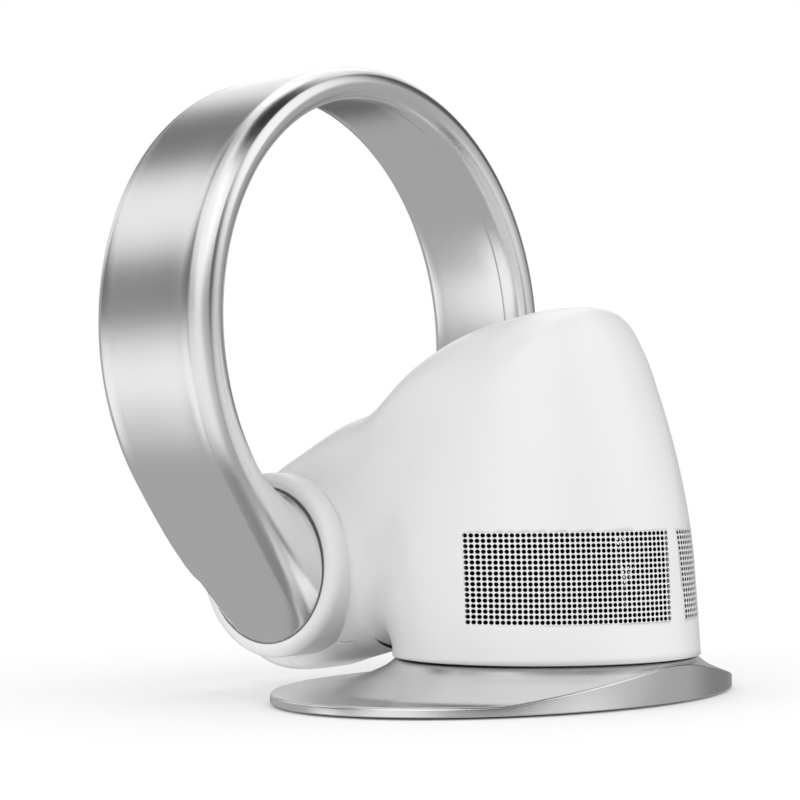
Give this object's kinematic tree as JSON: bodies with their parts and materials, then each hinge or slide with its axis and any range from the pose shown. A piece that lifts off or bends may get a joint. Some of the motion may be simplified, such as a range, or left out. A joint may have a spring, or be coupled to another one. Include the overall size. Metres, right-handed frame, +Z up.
{
  "type": "bladeless fan",
  "caption": "Bladeless desk fan: a silver air ring on two hollow tilt trunnions, a white swivelling body with rear inlet grilles and a hidden impeller, and an oval flared base.",
  "frame": {"origin": "on the floor, at the centre of the rest face, under the swivel axis of the body", "axes": "+Z up along the swivel axis, -Y towards the front, where the air leaves the ring, +X to the right of someone who faces the fan's front"},
  "size_m": [0.3, 0.2804, 0.351],
  "materials": {
    "white_plastic": "satin white moulded plastic",
    "satin_silver": "fine-grained silver coating with a satin sheen",
    "black_plastic": "plain black moulding",
    "rubber_pad": "matt",
    "steel": "zinc-plated",
    "ballast_iron": "as cast",
    "acetal": "natural, slightly waxy",
    "circuit_board": "green laminate"
  },
  "bodies": {
    "base": {"base_pad": "rubber_pad", "bottom_plate": "steel", "base_cover": "satin_silver", "base_screws": "steel", "ballast_ring": "ballast_iron", "power_inlet": "black_plastic", "swivel_post": "black_plastic", "post_nut": "black_plastic", "swivel_bearing": "acetal", "oscillation_motor": "steel"},
    "pinion": {"pinion_shaft": "steel", "drive_pinion": "acetal"},
    "head": {"turntable": "black_plastic", "swivel_gear": "acetal", "turntable_screws": "steel", "body_shell": "white_plastic", "arm_bottom_cover": "white_plastic", "air_baffle": "black_plastic", "control_board": "circuit_board", "impeller_shroud": "black_plastic", "motor_bucket": "black_plastic", "bucket_cap": "black_plastic", "motor": "steel", "motor_band": "rubber_pad", "left_grille": "white_plastic", "right_grille": "white_plastic", "left_collar": "white_plastic", "right_collar": "white_plastic", "left_friction_washer": "acetal", "right_friction_washer": "acetal"},
    "impeller": {"motor_shaft": "steel", "impeller": "black_plastic", "impeller_nut": "steel"},
    "ring": {"ring_shell": "satin_silver", "ring_diffuser": "satin_silver", "left_limb": "satin_silver", "right_limb": "satin_silver", "left_trunnion": "black_plastic", "right_trunnion": "black_plastic", "left_trunnion_nut": "black_plastic", "right_trunnion_nut": "black_plastic"}
  },
  "joints": [
    {"name": "head_swivel", "type": "hinge", "parent": "base", "child": "head", "pos_m": [0, 0, 0.0223], "axis": [0, 0, 1], "range_deg": [-40, 40]},
    {"name": "pinion_spin", "type": "hinge", "parent": "base", "child": "pinion", "pos_m": [0, 0.048, 0.0137], "axis": [0, 0, 1], "range_deg": [-174, 174]},
    {"name": "impeller_spin", "type": "hinge", "parent": "head", "child": "impeller", "pos_m": [0, 0, 0.1], "axis": [0, 0, 1], "continuous": true},
    {"name": "ring_tilt", "type": "hinge", "parent": "head", "child": "ring", "pos_m": [0, -0.1424, 0.0693], "axis": [-1, 0, 0], "range_deg": [-10, 20]}
  ],
  "couplings": [
    {"joint": "pinion_spin", "follows": "head_swivel", "ratio": -4.3333}
  ]
}
